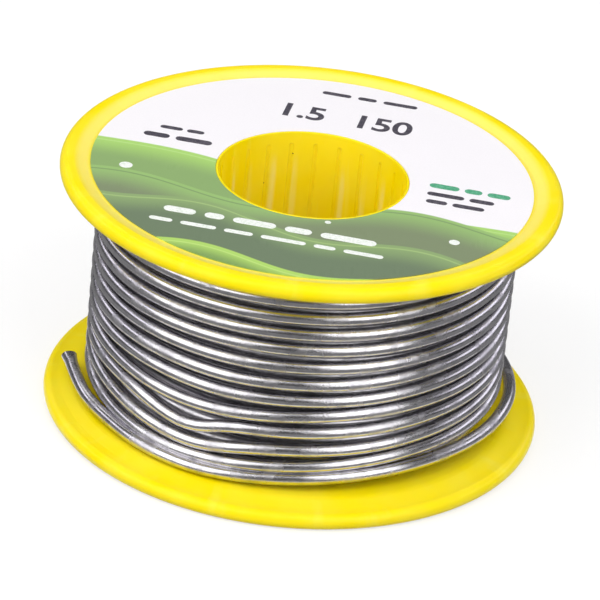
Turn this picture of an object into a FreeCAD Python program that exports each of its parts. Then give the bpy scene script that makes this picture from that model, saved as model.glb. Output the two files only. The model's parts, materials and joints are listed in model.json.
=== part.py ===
import FreeCAD, Part
import math
import os

# A small moulded spool of flux-cored solder wire, in millimetres and degrees.
# The spool stands on its lower rim. Z is the bore's axis and Z = 0 is the surface it stands on.
# The photographed view is from the -Y side, and angles are counted from +X, seen from above.

# Moulded spool
FLANGE_R = 28.25        # outer radius of both flanges
SPOOL_H = 30.0          # height over both rims
WALL = 1.9              # thickness of a flange
RECESS = 0.5            # depth of the label's seat below the rim
BORE_R = 10.6           # bore for the spindle
LIP_W = 0.25            # width of the low lip round the bore
LIP_H = 0.15            # height of that lip above the recess
LIP_ROUND = 0.1         # rounding of the lip's edges
HUB_WALL = 1.9          # thickness of the hub
CREST_W = 0.65          # flat top of the rim, inside its rounding
SLOPE_W = 1.4           # slope from the rim down to the label's seat
SLOPE_ROUND = 0.6       # rounding at both ends of that slope
SWEEP_IN = 3.4          # how far inside the rim the inner face starts to fall
SWEEP_W = 2.0           # width over which it falls
SWEEP_ROUND = 3.0       # rounding at both ends of that fall
SPIGOT_LEN = 4.0        # how deep the upper hub enters the lower one
SPIGOT_WALL = 0.75      # thickness of the spigot
SPIGOT_PLAY = 0.05      # radial clearance of the spigot in its socket
SPIGOT_END_GAP = 0.1    # clearance under the spigot's end
FLUTE_COUNT = 24        # shallow flutes along the bore
FLUTE_R = 0.3           # radius of a flute's cutter
FLUTE_DEPTH = 0.15      # depth of a flute in the bore's wall
FLUTE_LAND = 2.0        # plain bore left at each end

# Label
LABEL_MARGIN = 0.4      # bare seat between the label and the rim's slope
LABEL_GAP = 0.05        # clearance between the label's hole and the lip
LABEL_T = 0.12          # thickness of the paper

# Wire
WIRE_R = 0.75           # radius of the wire
FLUX_R = 0.25           # radius of the rosin core
FLUX_LEN = 2.5          # length of rosin core modelled behind the cut end
TURN_R = 23.1           # radius of the outer layer, to the wire's centre
TURN_PITCH = 1.97       # rise per turn
TURN_START_RISE = 2.55  # height of the outer layer's lower end above the flange
TURN_TOP_GAP = 0.2      # least clearance between the highest turn and the flange
TURN_START_DEG = 90.0   # angle of that end
STRAIGHT = 2 * WIRE_R   # straight stretch at each end of the outer layer
CORE_GAP = 0.05         # clearance between the outer layer and the layers below it
HUB_GAP = 0.05          # clearance between the inner layers and the hub
JOG_R = 3.0             # radius at which the wire climbs out of the layer below
JOG_DEG = 60.0          # angle of that climb
ANCHOR_PLAY = 0.25      # clearance of the wire's inner end in its anchor hole
ANCHOR_OFFSET = 1.5     # from the hub to the middle of the anchor hole
ANCHOR_DEG = 90.0       # angle of the anchor hole, behind the spool

# The slack last turn runs clockwise from behind the spool to the cut end at the left.
# Its route's corners are given as angle, radius and height, and the wire bends inside them.
LOOSE_FIRST_RUN = 10.4
LOOSE_POINTS = [
    (34.0, 25.90, 4.50),
    (6.0, 25.78, 4.50),
    (-22.0, 25.06, 4.75),
    (-51.0, 24.20, 4.65),
    (-80.0, 24.06, 4.05),
    (-108.0, 24.40, 3.25),
    (-130.0, 24.44, 3.22),
]
END_POINTS = [
    (-153.0, 24.50, 3.42),
    (-166.0, 24.95, 3.72),
    (-178.5, 25.55, 3.82),
]
ARC_SHARE = 0.45        # share of the shorter run that a bend may use

# What follows from the sizes above
RIM_ROUND = WALL / 2
INNER_FACE = RECESS + WALL
HUB_R = BORE_R + HUB_WALL
LIP_R = BORE_R + LIP_W
JOINT_Z = SPOOL_H / 2
SPIGOT_R = BORE_R + SPIGOT_WALL
SOCKET_R = SPIGOT_R + SPIGOT_PLAY
LABEL_R = FLANGE_R - RIM_ROUND - CREST_W - SLOPE_W - LABEL_MARGIN
TURN_START_Z = INNER_FACE + TURN_START_RISE
TURN_TOP_Z = SPOOL_H - INNER_FACE - TURN_TOP_GAP - WIRE_R
TURN_COUNT = int((TURN_TOP_Z - TURN_START_Z) / TURN_PITCH)
CORE_R = TURN_R - WIRE_R - CORE_GAP
ANCHOR_R = HUB_R + ANCHOR_OFFSET


def vec(x, y, z):
    return FreeCAD.Vector(x, y, z)


def polar(angle_deg, radius, height):
    a = math.radians(angle_deg)
    return vec(radius * math.cos(a), radius * math.sin(a), height)


def arc_through(start, corner, end):
    """The arc that touches both lines of a corner at start and end, which lie equally far from it."""
    middle = (start + end) * 0.5
    half_turn = (corner - start).getAngle(end - corner) / 2
    share = math.cos(half_turn) * math.tan(half_turn / 2) / math.sin(half_turn)
    return Part.Arc(start, middle + (corner - middle) * share, end).toShape()


def rounded_path(points, radii, closed=False):
    """Straight runs through points, with an arc of the given radius at each point that has one."""
    count = len(points)
    entries = []
    exits = []
    for i, (point, radius) in enumerate(zip(points, radii)):
        if radius <= 0 or (not closed and i in (0, count - 1)):
            entries.append(point)
            exits.append(point)
            continue
        back = (points[i - 1] - point).normalize()
        ahead = (points[(i + 1) % count] - point).normalize()
        turn = math.pi - back.getAngle(ahead)
        reach = radius * math.tan(turn / 2)
        entries.append(point + back * reach)
        exits.append(point + ahead * reach)
    edges = []
    for i in range(count):
        if (exits[i] - entries[i]).Length > 1e-6:
            edges.append(arc_through(entries[i], points[i], exits[i]))
        if i == count - 1 and not closed:
            break
        following = entries[(i + 1) % count]
        if (following - exits[i]).Length > 1e-6:
            edges.append(Part.LineSegment(exits[i], following).toShape())
    return Part.Wire(edges)


def turned(corners):
    """A solid turned about Z from corners given as radius, height and rounding."""
    points = [vec(r, 0, z) for r, z, _ in corners]
    radii = [rounding for _, _, rounding in corners]
    face = Part.Face(rounded_path(points, radii, closed=True))
    return face.revolve(vec(0, 0, 0), vec(0, 0, 1), 360)


def ring(inner_r, outer_r, low, high):
    return turned([(inner_r, low, 0), (outer_r, low, 0), (outer_r, high, 0), (inner_r, high, 0)])


def tube(path, radius):
    """A round tube along a path of lines and arcs."""
    first = path.OrderedEdges[0]
    start = first.valueAt(first.FirstParameter)
    along = first.tangentAt(first.FirstParameter)
    section = Part.Wire([Part.Circle(start, along, radius).toShape()])
    return path.makePipeShell([section], True, False)


def checked_tube(name, path, radius):
    solid = tube(path, radius)
    expected = math.pi * radius ** 2 * path.Length
    print(name, "volume over section times length:", round(solid.Volume / expected, 4), "valid:", solid.isValid())
    return solid


def flange_corners():
    """The flange from the hub's outside round the rim to the bore, as distances from its own outer face."""
    crest_out = FLANGE_R - RIM_ROUND
    crest_in = crest_out - CREST_W
    sweep_start = FLANGE_R - SWEEP_IN
    return [
        (HUB_R, INNER_FACE, 0),
        (sweep_start, INNER_FACE, SWEEP_ROUND),
        (sweep_start + SWEEP_W, WALL, SWEEP_ROUND),
        (FLANGE_R, WALL, RIM_ROUND),
        (FLANGE_R, 0, RIM_ROUND),
        (crest_in, 0, SLOPE_ROUND),
        (crest_in - SLOPE_W, RECESS, SLOPE_ROUND),
        (LIP_R, RECESS, 0),
        (LIP_R, RECESS - LIP_H, LIP_ROUND),
        (BORE_R, RECESS - LIP_H, LIP_ROUND),
    ]


def flutes(low, high, low_end_open):
    """Cutters for the shallow flutes of the bore, with a round end where the bore stays plain."""
    cutters = []
    for i in range(FLUTE_COUNT):
        foot = polar(360.0 * i / FLUTE_COUNT, BORE_R + FLUTE_DEPTH - FLUTE_R, low)
        cutter = Part.makeCylinder(FLUTE_R, high - low, foot)
        end_z = high if low_end_open else low
        cutter = cutter.fuse(Part.makeSphere(FLUTE_R, vec(foot.x, foot.y, end_z)))
        cutters.append(cutter)
    return Part.makeCompound(cutters)


def spool_lower_half():
    """Lower flange with the lower half of the hub, whose top is the socket for the spigot."""
    socket_floor = JOINT_Z - SPIGOT_LEN
    corners = [
        (BORE_R, socket_floor, 0),
        (SOCKET_R, socket_floor, 0),
        (SOCKET_R, JOINT_Z, 0),
        (HUB_R, JOINT_Z, 0),
    ]
    body = turned(corners + flange_corners())
    body = body.cut(flutes(FLUTE_LAND, socket_floor + FLUTE_R, low_end_open=False))
    hole = Part.makeCylinder(WIRE_R + ANCHOR_PLAY, SPOOL_H, polar(ANCHOR_DEG, ANCHOR_R, -WALL))
    return body.cut(hole)


def spool_upper_half():
    """Upper flange with the upper half of the hub, which ends in the spigot."""
    spigot_end = SPOOL_H - JOINT_Z + SPIGOT_LEN - SPIGOT_END_GAP
    corners = [
        (BORE_R, spigot_end, 0),
        (SPIGOT_R, spigot_end, 0),
        (SPIGOT_R, SPOOL_H - JOINT_Z, 0),
        (HUB_R, SPOOL_H - JOINT_Z, 0),
    ]
    upside_down = [(r, SPOOL_H - z, rounding) for r, z, rounding in corners + flange_corners()]
    body = turned(upside_down)
    return body.cut(flutes(SPOOL_H - spigot_end - FLUTE_R, SPOOL_H - FLUTE_LAND, low_end_open=True))


def face_label():
    """Paper ring stuck in the recess of the upper flange."""
    seat = SPOOL_H - RECESS
    return ring(LIP_R + LABEL_GAP, LABEL_R, seat, seat + LABEL_T)


def turn_point(angle_deg):
    """A point and the direction of the outer layer's centre line, climbing as the angle grows."""
    height = TURN_START_Z + TURN_PITCH * (angle_deg - TURN_START_DEG) / 360
    a = math.radians(angle_deg)
    along = vec(-TURN_R * math.sin(a), TURN_R * math.cos(a), TURN_PITCH / (2 * math.pi)).normalize()
    return polar(angle_deg, TURN_R, height), along


def biarc(start, start_dir, end, end_dir):
    """Two arcs that join two points and have the given directions there."""
    chord = end - start
    both = start_dir + end_dir
    bend = 2 * (1 - start_dir.dot(end_dir))
    reach = (math.sqrt(chord.dot(both) ** 2 + bend * chord.dot(chord)) - chord.dot(both)) / bend
    corner_a = start + start_dir * reach
    corner_b = end - end_dir * reach
    middle = (corner_a + corner_b) * 0.5
    return [arc_through(start, corner_a, middle), arc_through(middle, corner_b, end)]


def outer_layer_ends():
    """Where the straight stretches at the outer layer's two ends stop, and the directions there."""
    low, low_dir = turn_point(TURN_START_DEG)
    high, high_dir = turn_point(TURN_START_DEG + 360 * TURN_COUNT)
    return low - low_dir * STRAIGHT, low_dir, high + high_dir * STRAIGHT, high_dir


def least_gap(points, own_stretch):
    """The least gap of a tube to itself, from points along it, past the stretch beside each point."""
    least = 1e9
    for i, a in enumerate(points):
        for b in points[i + own_stretch:]:
            if abs(a.z - b.z) < least:
                least = min(least, a.distanceToPoint(b))
    return least - 2 * WIRE_R


def wire_outer_layer():
    """The outer layer's turns as one unbroken tube."""
    low_end, low_dir, high_end, high_dir = outer_layer_ends()
    quarters = 4 * TURN_COUNT
    knots = [turn_point(TURN_START_DEG + 90.0 * i) for i in range(quarters + 1)]
    edges = [Part.LineSegment(low_end, knots[0][0]).toShape()]
    for (start, start_dir), (end, end_dir) in zip(knots, knots[1:]):
        edges += biarc(start, start_dir, end, end_dir)
    edges.append(Part.LineSegment(knots[-1][0], high_end).toShape())
    step = 5
    samples = [turn_point(TURN_START_DEG + step * i)[0] for i in range(360 * TURN_COUNT // step + 1)]
    print("outer layer: turns", TURN_COUNT, "least gap to itself", round(least_gap(samples, 180 // step), 3))
    return checked_tube("outer layer", Part.Wire(edges), WIRE_R)


def wire_inner_layers():
    """The layers under the outer one as a plain ring, with the wire that climbs out of them."""
    core = ring(HUB_R + HUB_GAP, CORE_R, INNER_FACE, SPOOL_H - INNER_FACE)
    _, _, start, along = outer_layer_ends()
    inward = vec(-start.x, -start.y, 0)
    inward = (inward - along * inward.dot(along)).normalize()
    turn = math.radians(JOG_DEG)
    reach = JOG_R * math.tan(turn / 2)
    corner = start + along * reach
    end = corner + (along * math.cos(turn) + inward * math.sin(turn)) * reach
    jog = tube(Part.Wire([arc_through(start, corner, end)]), WIRE_R)
    return core.fuse(jog)


def wire_inner_end():
    """The wire's first end, which leaves the inner layers through the anchor hole, cut flush."""
    return Part.makeCylinder(WIRE_R, WALL, polar(ANCHOR_DEG, ANCHOR_R, RECESS))


def cord_path(points, name):
    """Straight runs with tangent arcs, each as large as its two runs allow."""
    radii = [0.0]
    for before, here, after in zip(points, points[1:], points[2:]):
        turn = (here - before).getAngle(after - here)
        run = min((here - before).Length, (after - here).Length)
        radii.append(ARC_SHARE * run / math.tan(turn / 2))
    radii.append(0.0)
    print(name, "bend radii:", [round(r, 1) for r in radii[1:-1]])
    return rounded_path(points, radii)


def loose_route():
    """The loose turn's points, and the point where the free end starts, halfway along a level run."""
    low_end, low_dir, _, _ = outer_layer_ends()
    points = [low_end, low_end - low_dir * LOOSE_FIRST_RUN]
    points += [polar(*p) for p in LOOSE_POINTS]
    end_points = [polar(*p) for p in END_POINTS]
    split = (points[-1] + end_points[0]) * 0.5
    return points + [split], [split] + end_points


def wire_loose_turn():
    """The slack last turn, from the outer layer's lower end round to where the free end starts."""
    return checked_tube("loose turn", cord_path(loose_route()[0], "loose turn"), WIRE_R)


def flux_bore(extra):
    """The rosin core's hole behind the cut end, with some extra length past it."""
    before, tip = loose_route()[1][-2:]
    back = (before - tip).normalize()
    return Part.makeCylinder(FLUX_R, FLUX_LEN + extra, tip - back * extra, back)


def wire_free_end():
    """The cut end that stands off the winding, with the hole for its rosin core."""
    end = checked_tube("free end", cord_path(loose_route()[1], "free end"), WIRE_R)
    return end.cut(flux_bore(WIRE_R))


def flux_core_tip():
    """Rosin in the wire's middle, level with the cut."""
    return flux_bore(0)


def pivot():
    """The outer edge of the wire at the split, where the free end bends away from the spool."""
    points = loose_route()[1]
    along = (points[1] - points[0]).normalize()
    outward = along.cross(vec(0, 0, 1)) * -1
    return points[0] + outward * WIRE_R


def main():
    makers = {
        "spool_lower_half": spool_lower_half,
        "spool_upper_half": spool_upper_half,
        "face_label": face_label,
        "wire_inner_end": wire_inner_end,
        "wire_inner_layers": wire_inner_layers,
        "wire_outer_layer": wire_outer_layer,
        "wire_loose_turn": wire_loose_turn,
        "wire_free_end": wire_free_end,
        "flux_core_tip": flux_core_tip,
    }
    os.makedirs("parts", exist_ok=True)
    for name, make in makers.items():
        shape = make()
        shape.exportStep("parts/" + name + ".step")
        box = shape.BoundBox
        print(name, "solids", len(shape.Solids), "volume", round(shape.Volume, 2), "valid", shape.isValid(),
              "z", round(box.ZMin, 3), round(box.ZMax, 3), "x", round(box.XMin, 3), round(box.XMax, 3))
    bend = pivot()
    print("free end bends about", round(bend.x, 3), round(bend.y, 3))


main()
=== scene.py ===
"""A small moulded spool of flux-cored solder wire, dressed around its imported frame.

The scene is in metres. Z is the bore's axis and the spool stands on Z = 0, with its photographed side at -Y.
Angles are degrees counted from +X, seen from above. Sizes that a maker would give in millimetres are written
as a number times MM.
"""

import json
import logging
import math
from dataclasses import dataclass
from enum import Enum

import bpy
from mathutils import Matrix, Vector, noise


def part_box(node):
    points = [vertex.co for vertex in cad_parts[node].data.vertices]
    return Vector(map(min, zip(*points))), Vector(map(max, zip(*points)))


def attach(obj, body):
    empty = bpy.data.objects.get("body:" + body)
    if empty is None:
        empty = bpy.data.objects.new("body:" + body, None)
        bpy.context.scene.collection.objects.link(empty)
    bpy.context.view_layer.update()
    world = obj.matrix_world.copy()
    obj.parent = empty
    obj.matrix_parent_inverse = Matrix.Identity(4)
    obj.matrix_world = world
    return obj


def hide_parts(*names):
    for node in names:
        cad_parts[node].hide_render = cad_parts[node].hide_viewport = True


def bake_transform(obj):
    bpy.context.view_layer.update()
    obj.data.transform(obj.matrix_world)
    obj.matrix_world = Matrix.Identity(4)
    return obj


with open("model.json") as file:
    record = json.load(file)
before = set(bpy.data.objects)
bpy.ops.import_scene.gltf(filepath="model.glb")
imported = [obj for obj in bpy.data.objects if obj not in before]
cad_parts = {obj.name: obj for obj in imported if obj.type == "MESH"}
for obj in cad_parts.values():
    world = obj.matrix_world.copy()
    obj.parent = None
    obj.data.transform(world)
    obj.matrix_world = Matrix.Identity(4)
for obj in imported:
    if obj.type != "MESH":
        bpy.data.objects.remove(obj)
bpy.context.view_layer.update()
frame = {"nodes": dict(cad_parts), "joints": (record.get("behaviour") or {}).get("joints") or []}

MM = 0.001
PER_MM = 1000.0  # the finishes count in millimetres
WIRE_RADIUS = 0.75 * MM  # radius of the solder wire
HUB_RADIUS = 12.55 * MM  # where the wire starts on the hub
SPOOL_MIDDLE = 15.0 * MM  # height of the spool's middle
PRINT_TURNED_DEG = -9.0  # how far the label's print is turned on the flange
SMOOTH_BELOW = math.radians(40)  # faces that meet at less than this are shaded as one surface
WELD = 1e-7  # corners nearer than this are one corner
LOG = logging.getLogger("solder_spool")

Colour = tuple[float, float, float]
Piece = bpy.types.Object
Socket = bpy.types.NodeSocket
Inputs = bpy.types.NodeInputs
Sockets = bpy.types.NodeInputs | bpy.types.NodeOutputs


class Body(Enum):
    """The moving bodies of the frame."""

    SPOOL = "spool"
    FREE_END = "free_end"


class Slot(Enum):
    """The record's material slots."""

    PLASTIC = "spool_plastic"
    PAPER = "label_paper"
    SOLDER = "solder_wire"
    ROSIN = "rosin"


def polar(angle_deg: float, radius: float, height: float) -> Vector:
    """A point given by its angle round the bore, its distance from the axis and its height."""
    a = math.radians(angle_deg)
    return Vector((radius * math.cos(a), radius * math.sin(a), height))


def seen(red: int, green: int, blue: int) -> Colour:
    """The linear colour, as a shader takes it, that shows as these 8-bit values."""
    shares = [channel / 255 for channel in (red, green, blue)]
    return tuple(s / 12.92 if s <= 0.04045 else ((s + 0.055) / 1.055) ** 2.4 for s in shares)


# Building with operators

def start_piece() -> None:
    """Deselects everything, so that an operator acts on the new piece alone."""
    if bpy.context.object and bpy.context.object.mode != "OBJECT":
        bpy.ops.object.mode_set(mode="OBJECT")
    bpy.ops.object.select_all(action="DESELECT")


def pick(piece: Piece) -> None:
    """Makes one object the only selected one and the active one.

    Args:
        piece: the object.
    """
    start_piece()
    piece.select_set(True)
    bpy.context.view_layer.objects.active = piece


def settle(piece: Piece, name: str) -> Piece:
    """Names a finished piece and moves its place into its mesh.

    Args:
        piece: the object, in object mode.
        name: the name of the object and its mesh.

    Returns:
        The same object, unturned and unscaled at the origin.
    """
    pick(piece)
    bpy.ops.object.transform_apply(location=True, rotation=True, scale=True)
    piece.name = name
    piece.data.name = name
    return piece


def add_modifier(piece: Piece, kind: str, **settings: object) -> None:
    """Adds a modifier to the active piece and applies it.

    Args:
        piece: the object, already active.
        kind: the modifier's type.
        settings: the modifier's own settings.
    """
    modifier = piece.modifiers.new(kind.lower(), kind)
    for key, value in settings.items():
        setattr(modifier, key, value)
    bpy.ops.object.modifier_apply(modifier=modifier.name)


def select_faces(piece: Piece, wanted: list[bool]) -> None:
    """Selects just the wanted faces of a mesh.

    Args:
        piece: the object, in object mode.
        wanted: for each face, whether it is selected.
    """
    mesh = piece.data
    mesh.vertices.foreach_set("select", [False] * len(mesh.vertices))
    mesh.edges.foreach_set("select", [False] * len(mesh.edges))
    mesh.polygons.foreach_set("select", wanted)


def grow_ring(radius: float, height: float, sides: int, steps: list[tuple[float, float]]) -> Piece:
    """Draws a circle round the bore and extrudes its edge in steps.

    Args:
        radius: radius of the circle.
        height: height of the circle.
        sides: how many corners it has.
        steps: for each step, the radius that the edge gets and how far it rises.

    Returns:
        The open surface, in object mode.
    """
    start_piece()
    bpy.ops.mesh.primitive_circle_add(vertices=sides, radius=radius, location=(0.0, 0.0, height))
    ring = bpy.context.object
    bpy.ops.object.mode_set(mode="EDIT")
    bpy.ops.mesh.select_mode(type="EDGE")
    bpy.ops.mesh.select_all(action="SELECT")
    for wider, rise in steps:
        bpy.ops.mesh.extrude_edges_move(TRANSFORM_OT_translate={"value": (0.0, 0.0, rise)})
        share = wider / radius
        bpy.ops.transform.resize(value=(share, share, 1.0), center_override=(0.0, 0.0, height))
        radius = wider
    bpy.ops.mesh.select_all(action="SELECT")
    bpy.ops.mesh.normals_make_consistent(inside=False)
    bpy.ops.object.mode_set(mode="OBJECT")
    return ring


def join_pieces(pieces: list[Piece], name: str) -> Piece:
    """Joins several objects into one.

    Args:
        pieces: the objects, each with a mesh of its own.
        name: the name of the joined object.

    Returns:
        The joined object.
    """
    start_piece()
    for piece in pieces:
        piece.select_set(True)
    bpy.context.view_layer.objects.active = pieces[0]
    if len(pieces) > 1:
        bpy.ops.object.join()
    return settle(bpy.context.object, name)


def least_radius(piece: Piece) -> float:
    """How near a piece's corners come to the bore's axis."""
    return min(math.hypot(vertex.co.x, vertex.co.y) for vertex in piece.data.vertices)


# Building node trees

@dataclass
class NodeBoard:
    """A node tree with short ways to add nodes and join them."""

    tree: bpy.types.NodeTree  # the tree that the nodes go into

    @classmethod
    def blank(cls, block: bpy.types.Material | bpy.types.World, output: str) -> tuple["NodeBoard", Socket]:
        """Empties the nodes of a material or a world and gives it a new output.

        Args:
            block: the material or the world.
            output: the kind of its output node.

        Returns:
            The board, and the output's socket for the surface.
        """
        block.use_nodes = True
        block.node_tree.nodes.clear()
        board = cls(block.node_tree)
        return board, board.add(output).inputs["Surface"]

    def add(self, kind: str, **settings: object) -> bpy.types.Node:
        """Adds a node.

        Args:
            kind: the node's type.
            settings: the node's own settings.

        Returns:
            The new node.
        """
        node = self.tree.nodes.new(kind)
        for key, value in settings.items():
            setattr(node, key, value)
        return node

    def feed(self, socket: Socket, value: object) -> None:
        """Joins an output to an input, or sets the input's own value.

        Args:
            socket: the input.
            value: another node's output, or a plain value.
        """
        if isinstance(value, Socket):
            self.tree.links.new(value, socket)
        else:
            socket.default_value = value

    def run(self, node: bpy.types.Node, *values: object) -> Socket:
        """Feeds a node's first inputs in order.

        Args:
            node: the node.
            values: outputs or plain values.

        Returns:
            The node's first output.
        """
        for socket, value in zip(node.inputs, values):
            self.feed(socket, value)
        return node.outputs[0]

    def calc(self, operation: str, *values: object) -> Socket:
        """A number worked out from up to three others, each an output or a plain value."""
        return self.run(self.add("ShaderNodeMath", operation=operation), *values)

    def product(self, first: object, *others: object) -> object:
        """Several numbers multiplied together.

        Args:
            first: an output or a plain value.
            others: the outputs or values that it is multiplied by.

        Returns:
            The product's output.
        """
        for other in others:
            first = self.calc("MULTIPLY", first, other)
        return first

    def vector(self, operation: str, *values: object) -> Socket:
        """A vector worked out from others, each an output or a plain value."""
        return self.run(self.add("ShaderNodeVectorMath", operation=operation), *values)

    def split(self, vector: Socket) -> tuple[Socket, ...]:
        """The three parts of a vector."""
        return tuple(self.run(self.add("ShaderNodeSeparateXYZ"), vector).node.outputs)

    def combine(self, x: object, y: object, z: object) -> Socket:
        """A vector from three parts."""
        return self.run(self.add("ShaderNodeCombineXYZ"), x, y, z)

    def ramp(self, value: object, low: float, high: float, start: float = 0.0, end: float = 1.0) -> Socket:
        """A smooth step from start to end while the value goes from low to high."""
        node = self.add("ShaderNodeMapRange", interpolation_type="SMOOTHSTEP")
        return self.run(node, value, low, high, start, end)

    def noise(self, vector: Socket, scale: float, detail: float = 2.0, roughness: float = 0.5) -> Socket:
        """Smooth noise about one half.

        Args:
            vector: the place on the piece.
            scale: how many grains there are per unit of the place.
            detail: how many finer grains are added.
            roughness: how strong the finer grains are.

        Returns:
            The noise's output.
        """
        node = self.add("ShaderNodeTexNoise")
        self.feed(node.inputs["Vector"], vector)
        for key, value in (("Scale", scale), ("Detail", detail), ("Roughness", roughness)):
            self.feed(node.inputs[key], value)
        return node.outputs[0]

    def mix(self, share: object, first: object, second: object) -> Socket:
        """A colour between two others.

        Args:
            share: how much of the second colour there is.
            first: a colour.
            second: another colour.

        Returns:
            The mixed colour's output.
        """
        node = self.add("ShaderNodeMix", data_type="RGBA")
        for index, value in ((0, share), (6, first), (7, second)):
            if isinstance(value, tuple):
                value = (*value, 1.0)
            self.feed(node.inputs[index], value)
        return node.outputs[2]

    def place_mm(self) -> Socket:
        """Reads the place on the piece from its object coordinates.

        Returns:
            The place in millimetres.
        """
        place = self.add("ShaderNodeTexCoord").outputs["Object"]
        node = self.add("ShaderNodeVectorMath", operation="SCALE")
        self.feed(node.inputs[0], place)
        node.inputs["Scale"].default_value = PER_MM
        return node.outputs[0]

    def bump(self, height: Socket, distance: float, strength: float = 1.0) -> Socket:
        """A normal from a height.

        Args:
            height: a height from 0 to 1.
            distance: how high 1 is, in metres.
            strength: how much of the relief is used.

        Returns:
            The normal's output.
        """
        node = self.add("ShaderNodeBump")
        node.inputs["Strength"].default_value = strength
        node.inputs["Distance"].default_value = distance
        self.feed(node.inputs["Height"], height)
        return node.outputs["Normal"]

    def group(self, made: "Effect", **inputs: object) -> bpy.types.Node:
        """Places an effect's node group.

        Args:
            made: the effect.
            inputs: the values of the group's named inputs.

        Returns:
            The placed group.
        """
        node = self.add("ShaderNodeGroup", node_tree=made.tree())
        for key, value in inputs.items():
            self.feed(node.inputs[key], value)
        return node


class Effect:
    """A node group that several materials place with their own values."""

    name = "effect"
    inputs: tuple[tuple[str, str], ...] = ()
    outputs: tuple[tuple[str, str], ...] = ()

    def __init__(self) -> None:
        """Starts with no group, which is built when it is first placed."""
        self._tree: bpy.types.NodeTree | None = None

    def tree(self) -> bpy.types.NodeTree:
        """Builds the group, or finds it if it is built already.

        Returns:
            The node group.
        """
        if self._tree is None:
            made = bpy.data.node_groups.new(self.name, "ShaderNodeTree")
            for title, kind in self.inputs:
                made.interface.new_socket(title, in_out="INPUT", socket_type=kind)
            for title, kind in self.outputs:
                made.interface.new_socket(title, in_out="OUTPUT", socket_type=kind)
            board = NodeBoard(made)
            source = board.add("NodeGroupInput")
            sink = board.add("NodeGroupOutput")
            self.draw(board, source.outputs, sink.inputs)
            self._tree = made
        return self._tree

    def draw(self, board: NodeBoard, given: Sockets, result: Sockets) -> None:
        """Adds the group's nodes between its inputs and outputs.

        Args:
            board: the group's nodes.
            given: what is fed to the group.
            result: what the group puts out.
        """
        raise NotImplementedError


class Specks(Effect):
    """Scattered specks of dust or dark grains, as a mask."""

    name = "scattered_specks"
    inputs = (
        ("Place", "NodeSocketVector"),
        ("Per mm", "NodeSocketFloat"),
        ("Size", "NodeSocketFloat"),
        ("Share", "NodeSocketFloat"),
    )
    outputs = (("Mask", "NodeSocketFloat"),)

    def draw(self, board: NodeBoard, given: Sockets, result: Sockets) -> None:
        """Adds a cell pattern of which only some cells keep their speck.

        Args:
            board: the group's nodes.
            given: the place, the cells per millimetre, a speck's size and the share of cells with one.
            result: the mask.
        """
        cells = board.add("ShaderNodeTexVoronoi", feature="F1")
        board.feed(cells.inputs["Vector"], given["Place"])
        board.feed(cells.inputs["Scale"], given["Per mm"])
        near = board.calc("LESS_THAN", cells.outputs["Distance"], given["Size"])
        chance, _, _ = board.split(cells.outputs["Color"])
        kept = board.calc("LESS_THAN", chance, given["Share"])
        board.feed(result["Mask"], board.product(near, kept))


class Scuffs(Effect):
    """Fine rubbed lines and soft handling marks, as a height and a mask."""

    name = "handling_scuffs"
    inputs = (
        ("Place", "NodeSocketVector"),
        ("Line scale", "NodeSocketFloat"),
        ("Patch scale", "NodeSocketFloat"),
    )
    outputs = (("Height", "NodeSocketFloat"), ("Mask", "NodeSocketFloat"))

    def draw(self, board: NodeBoard, given: Sockets, result: Sockets) -> None:
        """Adds stretched noise for the lines and broad noise for the patches that hold them.

        Args:
            board: the group's nodes.
            given: the place and the scales of the lines and the patches.
            result: the lines' height and the mask of the scuffed places.
        """
        stretched = board.vector("MULTIPLY", given["Place"], (1.0, 0.12, 0.4))
        lines = board.noise(stretched, given["Line scale"], 3.0, 0.6)
        patches = board.noise(given["Place"], given["Patch scale"], 2.0, 0.5)
        board.feed(result["Height"], lines)
        scuffed = board.ramp(patches, 0.5, 0.72)
        board.feed(result["Mask"], board.product(scuffed, board.ramp(lines, 0.48, 0.66)))


SPECKS = Specks()
SCUFFS = Scuffs()


# Finishes

@dataclass(frozen=True)
class Finish:
    """What every finish has."""

    name: str  # the material's name
    roughness: float  # how dull the clean surface is

    def make(self) -> bpy.types.Material:
        """Builds the material.

        Returns:
            A new material with its own nodes.
        """
        material = bpy.data.materials.new(self.name)
        board, surface = NodeBoard.blank(material, "ShaderNodeOutputMaterial")
        shader = board.add("ShaderNodeBsdfPrincipled")
        board.feed(surface, shader.outputs["BSDF"])
        shader.inputs["Roughness"].default_value = self.roughness
        self.draw(board, shader.inputs)
        return material

    def draw(self, board: NodeBoard, shader: Inputs) -> None:
        """Adds the finish's own nodes and values.

        Args:
            board: the material's nodes.
            shader: the inputs of its shader.
        """
        raise NotImplementedError


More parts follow.
